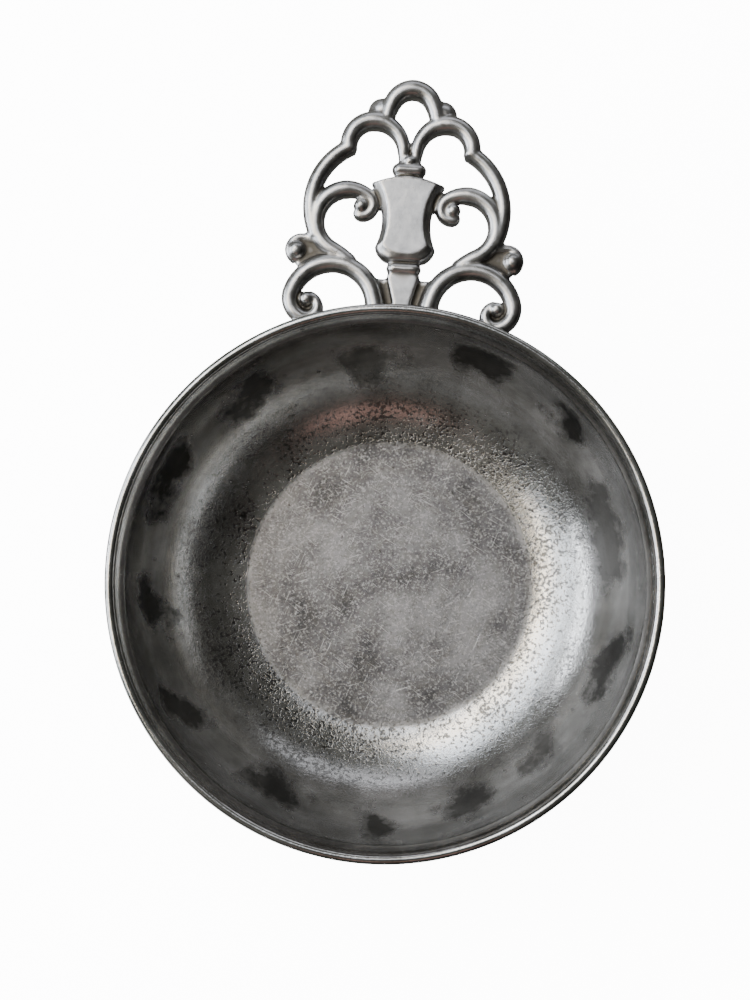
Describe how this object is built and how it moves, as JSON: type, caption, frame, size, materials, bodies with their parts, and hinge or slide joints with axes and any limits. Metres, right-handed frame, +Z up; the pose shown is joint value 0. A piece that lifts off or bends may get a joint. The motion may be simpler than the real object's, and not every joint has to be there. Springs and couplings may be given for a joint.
{
  "type": "pewter porringer",
  "caption": "Shallow round pewter bowl with a rolled lip and one flat pierced scrollwork handle soldered under the lip.",
  "frame": {"origin": "middle of the flat base, on the surface it rests on", "axes": "+Z up out of the bowl, +Y from the bowl's axis to the tip of the handle, +X to the right of that"},
  "size_m": [0.127, 0.1789, 0.043],
  "materials": {
    "turned_pewter": "aged pewter, turned, dull with dark tarnish and fine scratches",
    "cast_pewter": "aged pewter, cast and hand finished, rubbed bright on the crowns",
    "soft_solder": "dull grey soft solder"
  },
  "bodies": {
    "root": {"bowl": "turned_pewter", "handle": "cast_pewter", "solder_joint": "soft_solder"}
  },
  "joints": []
}
